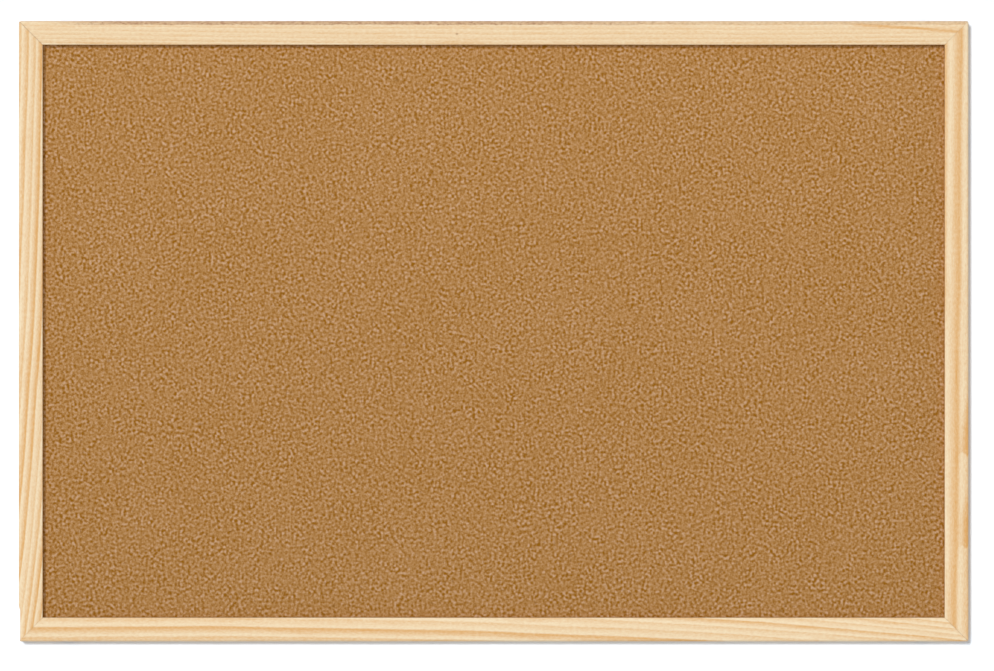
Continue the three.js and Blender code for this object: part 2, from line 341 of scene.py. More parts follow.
SIDES = (
    Side("left_stile", 0, (-HALF_WIDTH, 0.0), 2 * HALF_HEIGHT,
         Grain((3.8, 4.9, 4.4), start=0.96, lean=0.055, bow=3.9, base=0.06, contrast=0.95, softness=0.4),
         glue_lines=(0.4, 0.9), pared=0.8 * MM),
    Side("top_rail", 1, (0.0, HALF_HEIGHT), 2 * HALF_WIDTH,
         Grain((2.5, 3.2, 2.7), start=0.2, lean=0.003, bow=0.3, base=0.17, contrast=0.42, softness=0.3,
               torn=1.0, knot=(-23.2, 8.2), stray=((222, 2.2), (296, 6.8))),
         glue_lines=(0.9, 0.3)),
    Side("right_stile", 2, (HALF_WIDTH, 0.0), 2 * HALF_HEIGHT,
         Grain((-9.5, -9.5, -9.5), start=0.34, lean=0.01, bow=0.0, base=0.14, contrast=1.2,
               softness=0.65, flames=((33, 81), (92, 140))),
         glue_lines=(0.3, 0.6)),
    Side("bottom_rail", 3, (0.0, -HALF_HEIGHT), 2 * HALF_WIDTH,
         Grain((3.2, 5.5, 6.4), start=2.75, lean=0.03, bow=6.2, base=0.05, contrast=0.85, softness=0.4,
               datum=5.7),
         glue_lines=(0.6, 0.4)),
)


def add_object(name, data):
    """A new object in the scene."""
    made = bpy.data.objects.new(name, data)
    bpy.context.scene.collection.objects.link(made)
    return made


def mesh_object(name, points, faces, smooth_angle=40):
    """A mesh from a grid of points and a list of faces, which are turned outwards if they point in."""
    points = points.reshape(-1, 3)
    sizes = {len(face) for face in faces}
    groups = [np.array([face for face in faces if len(face) == size]) for size in sizes]
    volume = sum(
        np.einsum("ij,ij->", points[group[:, 0]], np.cross(points[group[:, k]], points[group[:, k + 1]]))
        for group in groups for k in range(1, group.shape[1] - 1))
    if volume < 0:
        faces = [face[::-1] for face in faces]
    mesh = bpy.data.meshes.new(name)
    mesh.from_pydata(points.tolist(), [], faces)
    mesh.shade_smooth()
    mesh.set_sharp_from_angle(angle=math.radians(smooth_angle))
    mesh.validate()
    return add_object(name, mesh)


def joined(*measures):
    """Points from their measures, each an array or one value for all."""
    return np.stack(np.broadcast_arrays(*measures), axis=-1)


def tube_faces(rows, columns):
    """Faces of a grid whose columns close round, with a flat cap on its first and last row."""
    index = np.arange(rows * columns).reshape(rows, columns)
    beside = np.roll(index, -1, axis=1)
    quads = joined(index[:-1], beside[:-1], beside[1:], index[1:]).reshape(-1, 4)
    return quads.tolist() + [index[0, ::-1].tolist(), index[-1].tolist()]


def sheet_faces(rows, columns):
    """Faces of an open grid, with one flat face behind its border."""
    index = np.arange(rows * columns).reshape(rows, columns)
    quads = joined(index[:-1, :-1], index[:-1, 1:], index[1:, 1:], index[1:, :-1]).reshape(-1, 4)
    border = np.concatenate([index[0, :-1], index[:-1, -1], index[-1, :0:-1], index[:0:-1, 0]])
    return quads.tolist() + [border[::-1].tolist()]


def round_angles(count):
    """Even angles, once round."""
    return np.linspace(0, 2 * math.pi, count + 1)[:-1]


def circle(angles):
    """Points of a circle of radius 1."""
    return joined(np.cos(angles), np.sin(angles))


def headings(line):
    """Unit direction of a line at each of its points."""
    steps = np.gradient(line, axis=0)
    return steps / np.linalg.norm(steps, axis=1, keepdims=True)


def swept(name, section, path, across, upward, widths=1.0, smooth_angle=40):
    """A closed section carried along a path: each path point, plus the section's first measure along
    the across direction there, times the width there, plus its second measure along the upward one."""
    widths = np.broadcast_to(widths, len(path))[:, None, None]
    across = np.broadcast_to(across, path.shape)[:, None]
    upward = np.broadcast_to(upward, path.shape)[:, None]
    points = path[:, None] + widths * section[None, :, :1] * across + section[None, :, 1:] * upward
    return mesh_object(name, points, tube_faces(len(path), len(section)), smooth_angle)


def rounded_section(width, height, radius, arc_steps=5):
    """Rectangle with round corners: a quarter circle about each corner's own middle."""
    angles = np.linspace(0, QUARTER_TURN, arc_steps)[None] + QUARTER_TURN * np.arange(4)[:, None]
    middles = np.array([[1, 1], [-1, 1], [-1, -1], [1, -1]]) * (width / 2 - radius, height / 2 - radius)
    return (middles[:, None] + radius * circle(angles)).reshape(-1, 2)


def ripple(places, wavelengths, seed):
    """Smooth unevenness between about -1 and 1: a sum of sine waves, each with its own random start."""
    starts = np.random.default_rng(seed).uniform(0, 2 * math.pi, len(wavelengths))
    waves = np.sin(2 * math.pi * places[..., None] / np.array(wavelengths) + starts)
    spread = 1.4
    return waves.mean(axis=-1) * spread


def moulding_points(side, pine, steps=420):
    """Section of the moulding carried along one side, as inset from the outside, depth and place along.

    The section goes up the outer face, over the arris, across the crowned face, round the inner arris,
    down the lip, out to the rebate and along the back. Each arris keeps a radius that varies slowly
    along the side, as hand sanding leaves it.
    """
    corner_share = 1 - pine.corner_round / side.length * 2
    main = np.linspace(-corner_share, corner_share, steps)
    turn_in = np.linspace(corner_share, 1, 6)[1:]
    along = np.concatenate([-turn_in[::-1], main, turn_in])[:, None]
    place = along * side.length / 2
    seed = 10 * side.turn
    waves = (0.031, 0.053, 0.117, 0.24)
    outer = pine.outer_arris * (1 + pine.sanding * ripple(place, waves, seed))
    inner = pine.inner_arris * (1 + pine.sanding * ripple(place, waves, seed + 1))
    lip_corner = MOULDING_WIDTH - inner
    rebate_wall = MOULDING_WIDTH - pine.rebate_width
    arc = np.linspace(0, QUARTER_TURN, 10)[None]
    face = np.linspace(0, 1, 28)[None, 1:-1]
    ones = np.ones_like(along)

    def run(first, last, count):
        """A straight part of the section, without its first point."""
        return first + (last - first) * np.linspace(0, 1, count)[None, 1:] * ones

    chamfer_depth = MOULDING_DEPTH - pine.back_chamfer
    crown, lip = pine.face_crown, pine.lip_thickness
    parts = [
        (run(0, 0, 8), run(crown + outer, chamfer_depth, 8)[:, ::-1]),
        (outer * (1 - np.cos(arc)), crown + outer * (1 - np.sin(arc))),
        (outer + (lip_corner - outer) * face, crown * (1 - 4 * face * (1 - face)) * ones),
        (lip_corner + inner * np.sin(arc), crown + inner * (1 - np.cos(arc))),
        (run(MOULDING_WIDTH, MOULDING_WIDTH, 4), run(crown + inner, lip, 4)),
        (run(MOULDING_WIDTH, rebate_wall, 5), run(lip, lip, 5)),
        (run(rebate_wall, rebate_wall, 7), run(lip, MOULDING_DEPTH, 7)),
        (run(rebate_wall, pine.back_chamfer, 9), run(MOULDING_DEPTH, MOULDING_DEPTH, 9)),
    ]
    inset, depth = (np.concatenate(measure, axis=1) for measure in zip(*parts))
    return inset, depth, along


def mitred_side(side, pine):
    """One side of the frame.

    An inset line runs straight to the mitre, at half the length less its inset. Inside the corner's
    radius it turns in along an arc about the corner's middle, which ends on the same mitre. The joint's
    gap then draws each end back, and the outer edge is pared near the first end.
    """
    inset, depth, along = moulding_points(side, pine)
    half = side.length / 2
    radius = pine.corner_round
    corner_share = 1 - radius / half
    end = np.sign(along)
    reach = np.abs(along)
    turned = np.clip((reach - corner_share) / (1 - corner_share), 0, 1) * math.pi / 4
    left = np.clip(radius - inset, 0, None)
    straight = along * (half - inset)
    rounded = end * (half - radius) * np.clip(reach / corner_share, 0, 1) + end * left * np.sin(turned)
    lengthwise = np.where(left > 0, rounded, straight)
    inward = np.where(left > 0, radius - left * np.cos(turned), inset)
    gap, gap_power = 0.03 * MM, 40
    pared_length, pared_run, pared_width = 22 * MM, 2 * MM, 6 * MM
    lengthwise = lengthwise - end * reach ** gap_power * gap
    pared = np.clip((-lengthwise - half + pared_length) / pared_run, 0, 1)
    inward = inward + side.pared * pared * np.clip(1 - inset / pared_width, 0, 1)
    angle = side.turn * QUARTER_TURN
    cosine, sine = round(math.cos(angle)), round(math.sin(angle))
    x = side.place[0] + inward * cosine + lengthwise * sine
    z = side.place[1] - inward * sine + lengthwise * cosine
    points = joined(x, FACE_Y + depth, z)
    return mesh_object(f"{side.name}_moulding", points, tube_faces(*inset.shape), 30)


class Spot(NamedTuple):
    """A point of a side that is turned upright: its place in metres and its parts in millimetres."""

    place: Wire
    across: Wire
    depth: Wire
    along: Wire


def spot_in_side(finish, side):
    """Measures a side inwards from its outer edge, backwards from its face and along from its middle."""
    turn = Euler((0, -side.turn * QUARTER_TURN, 0))
    corner = Vector((side.place[0], FACE_Y, side.place[1]))
    corner.rotate(turn)
    place = finish.node("ShaderNodeMapping", {
        "Vector": finish.place(), "Location": -corner, "Rotation": turn,
    })
    return Spot(place, *(part / MM for part in finish.parts(place)))


def growth_rings(finish, side, spot, ringing):
    """Late wood, from 0 to 1, and the strength of the ring that it belongs to.

    A ring's phase is the distance across the side, less the lean and plus the bow at that place along,
    over the ring spacing there. In each ring the wood darkens slowly and then turns pale at once.
    """
    grain = side.grain
    slant, wander_reach, ringing_reach = 0.4, 3, 0.6
    wander = finish.drawn_noise(spot.place, (40, 40, 9), 1.0)
    share = spot.along / (side.length / 2 / MM)
    first, middle, last = grain.spacings
    spacing = middle + share * ((last - first) / 2) + share * share * ((first + last) / 2 - middle)
    distance = spot.across - grain.datum + spot.depth * slant
    distance = distance - spot.along * grain.lean + share * share * grain.bow
    phase = (distance + wander * wander_reach + ringing * ringing_reach) / spacing + grain.start
    ring = finish.maths("FLOOR", phase)
    within = phase - ring
    own_number = ring + side.turn * 20
    strength = finish.node("ShaderNodeTexWhiteNoise", {"W": own_number}, "Value", noise_dimensions="1D")
    peak = 0.88 - grain.softness * 0.4
    fall = 0.12 + grain.softness * 0.3
    late = finish.maths("MINIMUM", within / peak, 1.0) * (1 - finish.rise(within, peak, peak + fall))
    return late, strength


def flame_tone(finish, spot, ringing, begins, ends):
    """Tone of a flame: it widens as a square root and stops at a blunt end. It darkens towards the outer
    edge, and with depth it gets shorter and narrower."""
    widest, end_length, shorter, narrower = 7.2, 4, 3, 0.7
    ramp, full_tone = 4.5, 0.55
    ending = spot.along + spot.depth * shorter + ringing * 12
    blunt_end = 1 - finish.rise(ending, ends - end_length, ends)
    width = finish.rise(spot.along, begins, ends) ** 0.5 * blunt_end * widest + ringing * 1.5
    inside = finish.maths("MAXIMUM", width - spot.across - spot.depth * narrower, 0.0)
    return finish.maths("MINIMUM", inside / ramp, 1.0) * full_tone


def stray_tone(finish, spot, ringing, stray):
    """Tone of a stray ring: a line that leaves its first place and curves to its last one."""
    (begins, enters), (ends, leaves) = stray
    curve, full_tone = 1.3, 0.5
    way = finish.maths("MAXIMUM", (spot.along - begins) / (ends - begins), 0.0)
    off = finish.maths("ABSOLUTE", spot.across + ringing - enters - way ** curve * (leaves - enters))
    return finish.rise(way, 0.0, 0.15) * (1 - finish.rise(off, 0.2, 1.5)) * full_tone


def torn_strip(finish, side, spot, specks, pine, colour):
    """Adds the rough outer edge, which comes in near the first end and weakens towards the last."""
    half = side.length / 2 / MM
    comes_in = finish.rise(spot.along, 8 - half, 70 - half)
    weakens = 1 - finish.rise(spot.along, 0.0, 0.5 * half) * 0.6
    chips = finish.drawn_noise(spot.place, (90, 90, 90), 3.0, 0.6)
    torn = 1 - finish.rise(spot.across + chips * 2.4, 2.1, 2.7)
    torn = torn * (1 - finish.rise(spot.depth, 3.0, 7.0)) * comes_in * weakens * side.grain.torn
    colour = finish.mix(torn * (0.85 + chips * 0.8 + specks * 1.6), colour, pine.torn_edge)
    return finish.mix(torn * finish.rise(specks, 0.0, 0.2) * 0.5, colour, pine.stain)


def knot_stain(finish, spot, knot):
    """Strength of a small knot: a lozenge about its place."""
    along, across = knot
    off = finish.maths("ABSOLUTE", spot.along - along) * 0.7
    off = off + finish.maths("ABSOLUTE", spot.across - across)
    return (1 - finish.rise(off, 0.3, 1.1)) * 0.6


def glue_stain(finish, side, spot, specks):
    """Strength of the stain beside the mitres: a thin broken line, with the glue of the nearer end."""
    first, last = side.glue_lines
    glued = first + finish.rise(spot.along, -1.0, 1.0) * (last - first)
    from_mitre = side.length / 2 / MM - finish.maths("ABSOLUTE", spot.along) - spot.across
    broken = 0.3 + finish.rise(specks, -0.15, 0.15) * 0.7
    return (1 - finish.rise(from_mitre, 0.1, 0.6)) * broken * glued * 0.6


def pine_finish(side, pine):
    """Solid pine: rings, streaks, pores and fibre, all drawn along the side, and the marks on it."""
    finish = new_finish(f"pine_{side.name}")
    grain = side.grain
    spot = spot_in_side(finish, side)
    ringing = finish.drawn_noise(spot.place, (160, 160, 16))
    late, strength = growth_rings(finish, side, spot, ringing)
    fibre = finish.drawn_noise(spot.place, (3200, 3200, 70), 3.0, 0.6)
    pores = finish.drawn_noise(spot.place, (1100, 1100, 420), 2.0, 0.6)
    streak = finish.rise(finish.drawn_noise(spot.place, (420, 420, 22), 3.0), 0.0, 0.25)
    broad = finish.drawn_noise(spot.place, (60, 60, 12))
    specks = finish.drawn_noise(spot.place, (900, 900, 500), 2.0, 0.7)
    tone = late * (0.45 + strength * 0.55) * grain.contrast + grain.base
    tone = tone + streak * 0.18 + fibre * 0.5 + pores * 0.9 + broad * 0.25
    for begins, ends in grain.flames:
        tone = tone + flame_tone(finish, spot, ringing, begins, ends)
    if grain.stray:
        tone = tone + stray_tone(finish, spot, ringing, grain.stray)
    colour = finish.mix(finish.maths("MAXIMUM", tone, 0.0), pine.early_wood, pine.late_wood)
    if grain.torn:
        colour = torn_strip(finish, side, spot, specks, pine, colour)
    if grain.knot:
        colour = finish.mix(knot_stain(finish, spot, grain.knot), colour, pine.stain)
    colour = finish.mix(glue_stain(finish, side, spot, specks), colour, pine.stain)
    return finish.done(finish.principled({
        "Base Color": colour,
        "Roughness": 0.58 - late * 0.08 + fibre * 0.15,
        "Normal": finish.bump(fibre * 0.6 + pores * 0.5 + late * 0.4, 0.05 * MM, 0.6),
        "Specular IOR Level": 0.3,
    }))


def granules(places, size, seed):
    """Nearness of each place to the middle of its granule, from 1 at the middle down to 0.

    Each square of the grid holds one granule, whose middle is moved at random inside it. The nearest
    of the nine middles around a place counts.
    """
    squares = np.floor(places / size).astype(int)
    repeat = 256
    table = np.random.default_rng(seed).uniform(0, 1, (repeat, repeat, 2))
    nearest = np.full(places.shape[:-1], np.inf)
    for step in np.ndindex(3, 3):
        square = squares + np.array(step) - 1
        middle = (square + table[square[..., 0] % repeat, square[..., 1] % repeat]) * size
        nearest = np.minimum(nearest, np.linalg.norm(places - middle, axis=-1))
    return 1 - np.clip(nearest / size, 0, 1) ** 2


def cork_face(cork):
    """Cork sheet: a grid over the whole sheet. Inside the opening it stands proud, with a dome for each
    granule, and under the lip it drops to the pinched margin. The border goes down to the flat back."""
    clear_of_lip, edge_run, inner_inset = 0.3 * MM, 0.1 * MM, 0.7 * MM
    small_size, small_share = 0.55, 0.3
    columns, rows = 384, 245
    opening = np.array([HALF_WIDTH, HALF_HEIGHT]) - MOULDING_WIDTH - clear_of_lip
    outside = np.array([CORK_HIGH.x, CORK_HIGH.z])

    def lines(axis, count):
        inner = np.linspace(-1, 1, count) * (opening[axis] - inner_inset)
        rim = np.array([outside[axis], outside[axis], opening[axis], opening[axis] - edge_run])
        return np.concatenate([-rim, inner, rim[::-1]])

    x, z = np.meshgrid(lines(0, columns), lines(1, rows))
    places = joined(x, z)
    inside = (np.abs(places) < opening - edge_run / 2).all(axis=-1)
    large = granules(places, cork.granule, seed=7)
    small = granules(places, cork.granule * small_size, seed=8)
    grown = large * (1 - small_share) + small * small_share
    y = CORK_LOW.y + np.where(inside, cork.relief * (1 - grown), cork.margin_drop)
    border = np.ones_like(inside)
    border[1:-1, 1:-1] = False
    y[border] = CORK_HIGH.y
    return mesh_object("cork_face", joined(x, y, z), sheet_faces(*x.shape), 60)


def cork_finish(cork):
    """Pressed cork: dark and pale granules of one size, with specks of bark and fine pores.

    The tone is a noise less its mean at six places around, most of a granule away, which takes out all
    but the spots of a granule's size. The colour darkens a little down the sheet, a painted light
    fall-off.
    """
    finish = new_finish("granulated_cork")
    place = finish.place()
    scale, reach = 1.3 / cork.granule, cork.granule * 0.62
    # fade sets the painted light fall-off: the cork colour is painted darker towards the bottom and
    # paler towards the top
    beside_share, fade = 0.16, 0.24
    around = 0.0
    for turn in round_angles(6):
        offset = (reach * math.cos(turn), 0.0, reach * math.sin(turn))
        beside = finish.node("ShaderNodeVectorMath", {0: place, 1: offset}, operation="ADD")
        around = finish.noise(beside, scale, 0.0) + around
    granule = finish.noise(place, scale, 0.0) - around * beside_share - (0.5 - 3 * beside_share)
    speckle = finish.noise(place, 3 / cork.granule, 0.0) - 0.5
    broad = finish.noise(place, 24.0, 3.0) - 0.5
    mixed = finish.noise(place, 130.0, 1.0) * 2.7 - 0.05
    pores = finish.noise(place, 1900.0, 2.0, 0.7) - 0.5
    tone = 0.4 + granule * mixed + speckle * 0.68 + pores * 0.3 + broad * 0.1
    colour = finish.mix(tone * 2 - 1, finish.mix(tone * 2, cork.dark, cork.middle), cork.pale)
    bark = finish.rise(finish.noise(place, 400.0, 1.0), 0.64, 0.72)
    colour = finish.mix(bark * 0.4, colour, cork.bark)
    return finish.done(finish.principled({
        # Painted light: the colour is scaled by height, so it is darker down the sheet where the light
        # falls off
        "Base Color": finish.stretched(colour, 1 + finish.parts(place)[2] * fade),
        "Roughness": 0.86 + speckle * 0.2,
        "Normal": finish.bump(granule + pores * 0.3, 0.15 * MM, 0.2),
        "Specular IOR Level": 0.15,
    }))


def wedge_nail(name, low, high):
    """Corner nail: a thin strip on edge, carried along two legs with a round bend on the mitre."""
    thickness, bend, edge_round, proud = 0.6 * MM, 0.7 * MM, 0.12 * MM, 0.05 * MM
    top = BACK_Y + proud
    hand = np.sign((low.x, low.z))
    outer = np.where(hand > 0, (high.x, high.z), (low.x, low.z)) - hand * thickness / 2
    leg = high.x - low.x - thickness / 2
    arc = np.linspace(0, QUARTER_TURN, 8)
    turned = joined(bend * (1 - np.sin(arc)), bend * (1 - np.cos(arc)))
    ends = np.linspace(leg, bend, 10)[:-1]
    inward = np.concatenate([joined(ends, 0), turned, joined(0, ends)[::-1]])
    heading = headings(inward)
    flat = outer - hand * inward
    path = joined(flat[:, 0], (low.y + top) / 2, flat[:, 1])
    across = joined(hand[0] * heading[:, 1], 0, -hand[1] * heading[:, 0])
    return swept(name, rounded_section(thickness, top - low.y, edge_round), path, across, TOWARDS_WALL)


def pressed_point(name, low, high):
    """Framer's point: a thin section with a pressed rib, carried from the tip in the wood to the tail.

    The section is a flat superellipse that the rib lifts in the middle. Its width grows from the tip as
    the point does, and its tail is rounded off.
    """
    middle = (low + high) / 2
    upright = high.z - low.z > high.x - low.x
    axis = np.array((0.0, 0.0, np.sign(middle.z)) if upright else (np.sign(middle.x), 0.0, 0.0))
    half_width, half_length = sorted(((high.x - low.x) / 2, (high.z - low.z) / 2))
    half_thickness = (high.y - low.y) / 2
    tip, tip_share, tail_round = 3.5 * MM, 0.03, 1.0 * MM
    rib_height, rib_width = 0.45 * MM, 0.8 * MM
    square_across, square_up = 0.3, 0.4
    angles = round_angles(64)
    across = half_width * np.sign(np.cos(angles)) * np.abs(np.cos(angles)) ** square_across
    up = half_thickness * np.sign(np.sin(angles)) * np.abs(np.sin(angles)) ** square_up
    section = joined(across, up + rib_height * np.exp(-(across / rib_width) ** 2))
    along = np.concatenate([
        np.linspace(half_length, tail_round - half_length, 40),
        tail_round * (1 - np.sin(np.linspace(0.1, 1.5, 8))) - half_length,
    ])
    from_tip = half_length - along
    from_tail = np.clip(half_length + along, 0, tail_round)
    rounding = tail_round - np.sqrt(tail_round ** 2 - (tail_round - from_tail) ** 2)
    widths = np.clip(from_tip / tip, tip_share, 1) - rounding / half_width
    path = np.array(middle) + along[:, None] * axis
    return swept(name, section, path, np.cross(axis, TOWARDS_WALL), TOWARDS_WALL, widths, 50)


def tangent_touch(point, radius, side):
    """Angle at which the tangent from a point touches a circle about zero, on one side of it."""
    return math.atan2(point[1], point[0]) + side * math.acos(radius / math.hypot(*point))


def folded_strap(name, low, high, pivot):
    """Strap hanger: one strip carried up the board, round the bar of the ring and down over itself.

    The strip's middle line is straight, then a tangent to the knuckle, the arc about the bar, and the
    way back one sheet higher. Near its free ends the strip narrows as a half circle about the screw.
    It is a little thinner than the sheet, so its two leaves stay apart.
    """
    sheet, leaf_share, fold, edge_round = 0.4 * MM, 0.95, 3.0 * MM, 0.12 * MM
    half_width = (high.x - low.x) / 2
    length = pivot.z - low.z
    rise = pivot.y - BACK_Y
    knuckle = (high.z - pivot.z) - sheet / 2
    lower = np.array([-fold, sheet / 2 - rise])
    upper = np.array([-fold, 1.5 * sheet - rise])
    first = tangent_touch(lower, knuckle, 1)
    last = tangent_touch(upper, knuckle, -1) + 2 * math.pi
    arc = knuckle * circle(np.linspace(first, last, 48))
    tip = half_width * (1 - np.cos(np.linspace(0.25, QUARTER_TURN, 14)))
    runs = np.concatenate([tip - length, np.linspace(half_width - length, -fold, 24)[1:]])
    line = np.concatenate([joined(runs, lower[1]), arc, joined(runs, upper[1])[::-1]])
    heading = headings(line)
    from_end = np.clip(line[:, 0] + length, 0, half_width)
    widths = np.sqrt(1 - (1 - from_end / half_width) ** 2)
    path = joined(pivot.x, pivot.y + line[:, 1], pivot.z + line[:, 0])
    upward = joined(0, heading[:, 0], -heading[:, 1])
    section = rounded_section(2 * half_width, sheet * leaf_share, edge_round)
    return swept(name, section, path, (1.0, 0.0, 0.0), upward, widths, 50)


def hanging_ring(name, low, high, pivot):
    """D-ring: a round wire carried along its bar, two small bends and a half circle below."""
    wire = (high.y - low.y) / 2
    half_width = (high.x - low.x) / 2 - wire
    bend, butt = 1.3 * MM, 0.15 * MM
    leg = pivot.z - low.z - wire - half_width
    bar = np.linspace(butt, half_width - bend, 10)[:-1]
    corner = np.linspace(QUARTER_TURN, 0, 12)
    bowl = np.linspace(0, -QUARTER_TURN, 40)
    drop = np.linspace(-bend, -leg, 10)[1:-1]
    right = np.concatenate([
        joined(bar, 0),
        bend * circle(corner) + (half_width - bend, -bend),
        joined(half_width, drop),
        half_width * circle(bowl) + (0, -leg),
    ])
    line = np.concatenate([right, right[-2::-1] * (-1, 1)])
    heading = headings(line)
    path = joined(pivot.x + line[:, 0], pivot.y, pivot.z + line[:, 1])
    across = joined(-heading[:, 1], 0, heading[:, 0])
    return swept(name, wire * circle(round_angles(24)), path, across, TOWARDS_WALL)


def threaded_screw(name, low, high):
    """Hanger screw: rings about its axis, from the tip up the shank, out under the head and over it.

    The shank's radius is its core plus a ridge, which climbs by one pitch a turn and dies out at both
    ends. The head is a quarter ellipse that meets a flat top. A cross is sunk into the top, deepest in
    the middle, with sloping walls.
    """
    middle = (low + high) / 2
    head_radius = (high.x - low.x) / 2
    head_height = 1.7 * MM
    core, ridge = 1.05 * MM, 0.42 * MM
    pitch, ridge_share, tip, plain_neck = 1.3 * MM, 0.3, 3.0 * MM, 1.5 * MM
    cross_width, cross_span, cross_depth = 0.9 * MM, 3.2 * MM, 1.0 * MM
    cross_wall, blunt_share, middle_hole = 0.12 * MM, 0.02, 0.02 * MM
    length = high.y - low.y - head_height
    angles = round_angles(96)
    climb = np.linspace(0, length, 150)[:, None]
    turn = (climb / pitch - angles / (2 * math.pi)) % 1
    fade = np.clip(climb / tip, 0, 1) * np.clip((length - climb - plain_neck) / pitch, 0, 1)
    thread = ridge * fade * np.clip(1 - np.abs(turn - 0.5) / ridge_share, 0, 1)
    shank = core * np.clip(climb / tip, blunt_share, 1) + thread
    bend = np.linspace(0, QUARTER_TURN, 16)[:, None]
    dome = head_radius / 2 * (1 + np.cos(bend))
    top = np.linspace(head_radius / 2, middle_hole, 34)[1:, None]
    rings = (shank, dome, top)
    radii = np.concatenate([np.broadcast_to(ring, (len(ring), len(angles))) for ring in rings])
    head = head_height * np.concatenate([np.sin(bend), np.ones_like(top)])
    heights = np.concatenate([climb, length + head])
    x, z = radii * np.cos(angles), radii * np.sin(angles)
    reach = np.maximum(np.abs(x), np.abs(z))
    off = np.minimum(np.abs(x), np.abs(z))
    inside = np.clip((cross_width / 2 - off) / cross_wall, 0, 1)
    inside = inside * np.clip((cross_span / 2 - reach) / cross_wall, 0, 1)
    on_top = heights > length + 0.9 * head_height
    sunk = cross_depth * inside * (1 - reach / cross_span) * on_top
    points = joined(middle.x + x, low.y + heights - sunk, middle.z + z)
    return mesh_object(name, points, tube_faces(*radii.shape), 35)


def turned_bumper(name, low, high):
    """Bumper: rings about its axis, from a straight wall over a soft shoulder to a flat face."""
    middle = (low + high) / 2
    radius = (high.x - low.x) / 2
    height = high.y - low.y
    foot, bevel, shoulder_width, wall = 0.97, 0.05, 0.24, 0.45
    bend = np.linspace(0, QUARTER_TURN, 16)
    radii = radius * np.concatenate([[foot, 1], 1 - shoulder_width * (1 - np.cos(bend))])[:, None]
    heights = height * np.concatenate([[0, bevel], wall + (1 - wall) * np.sin(bend)])[:, None]
    angles = round_angles(64)
    x, z = radii * np.cos(angles), radii * np.sin(angles)
    points = joined(middle.x + x, low.y + heights, middle.z + z)
    return mesh_object(name, points, tube_faces(*x.shape), 50)


def metal_finish(name, colour, roughness, streak_scales, spangle):
    """Metal with drawn streaks, and a faint crystal pattern in its plating."""
    finish = new_finish(name)
    place = finish.place()
    streaks = finish.drawn_noise(place, streak_scales, 3.0, 0.65)
    cells = finish.node("ShaderNodeTexVoronoi", {"Vector": place, "Scale": 900.0}, "Color")
    crystal = finish.node("ShaderNodeSeparateColor", {0: cells})
    shade = streaks * 0.8 + (crystal - 0.5) * spangle
    return finish.done(finish.principled({
        "Base Color": finish.mix(0.35 + shade, colour, toned(colour, 0.6)),
        "Metallic": 1.0,
        "Roughness": roughness + shade * 0.35,
        "Normal": finish.bump(streaks + crystal * spangle, 0.01 * MM, 0.4),
    }))


def softboard_finish(colour):
    """Felted fibre: fine matted noise at two scales."""
    finish = new_finish("softboard_fibre")
    place = finish.place()
    felt = finish.noise(place, 900.0, 4.0, 0.7)
    clump = finish.noise(place, 90.0, 2.0)
    return finish.done(finish.principled({
        "Base Color": finish.mix(felt * 0.6 + clump * 0.5 - 0.2, colour, toned(colour, 0.6)),
        "Roughness": 0.9 + felt * 0.08,
        "Normal": finish.bump(felt, 0.3 * MM, 0.6),
    }))


def hardboard_finish(colour):
    """Hardboard: mottled fibre, and the woven print of the press screen on its rough side."""
    finish = new_finish("hardboard_screen_side")
    place = finish.place()
    x, _, z = finish.parts(place)
    screen_pitch = 1.6 * MM
    turns = 2 * math.pi / screen_pitch
    waves = finish.maths("SINE", x * turns) * finish.maths("SINE", z * turns)
    weave = finish.rise(waves, -0.35, 0.35)
    fibre = finish.noise(place, 1500.0, 4.0, 0.75)
    mottle = finish.noise(place, 38.0, 3.0, 0.6)
    shade = (fibre - 0.5) * 1.3 + (mottle - 0.5) * 0.7 - weave * 0.2 + 0.5
    return finish.done(finish.principled({
        "Base Color": finish.mix(shade, toned(colour, 1.25), toned(colour, 0.55)),
        "Roughness": 0.62 + fibre * 0.2,
        "Normal": finish.bump(weave * 0.6 + fibre * 0.5, 0.12 * MM, 0.8),
    }))


def rubber_finish(colour):
    """Moulded rubber: fine grain and a little dust."""
    finish = new_finish("bumper_rubber")
    place = finish.place()
    grain = finish.noise(place, 2600.0, 2.0)
    dust = finish.rise(finish.noise(place, 420.0, 3.0, 0.7), 0.55, 0.8)
    return finish.done(finish.principled({
        "Base Color": finish.mix(dust * 0.35, colour, toned(colour, 4)),
        "Roughness": 0.7 + dust * 0.2,
        "Normal": finish.bump(grain, 0.04 * MM, 0.5),
    }))


def place_piece(piece, material, body, slot, *nodes):
    """Gives a new piece its finish and its body, and hides the CAD nodes that it stands for. Slot is not
    used.
    """
    piece.data.materials.append(material)
    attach(piece, body)
    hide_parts(*nodes)


def dress_node(name, material):
    """Gives a CAD node a finish."""
    frame["nodes"][name].material_slots[0].material = material


def node_names(word):
    """CAD nodes with a word in their name."""
    return sorted(name for name in frame["nodes"] if word in name)


class PINBOARD_OT_frame_sides(bpy.types.Operator):
    """Build the four mitred pine mouldings"""

    bl_idname = "pinboard.frame_sides"
    bl_label = "Pine Frame"

    def execute(self, context):
        pine = context.scene.pinboard_pine
        for side in SIDES:
            place_piece(mitred_side(side, pine), pine_finish(side, pine), "board", "pine", side.name)
        return {"FINISHED"}


class PINBOARD_OT_cork(bpy.types.Operator):
    """Build the granular cork face"""

    bl_idname = "pinboard.cork"
    bl_label = "Cork Face"

    def execute(self, context):
        cork = context.scene.pinboard_cork
        place_piece(cork_face(cork), cork_finish(cork), "board", "cork", "cork_sheet")
        return {"FINISHED"}


class PINBOARD_OT_panel_back(bpy.types.Operator):
    """Finish the softboard core and the hardboard backing"""

    bl_idname = "pinboard.panel_back"
    bl_label = "Core and Backing"

    def execute(self, context):
        back = context.scene.pinboard_back
        dress_node("softboard_core", softboard_finish(back.softboard))
        dress_node("hardboard_backing", hardboard_finish(back.hardboard))
        return {"FINISHED"}


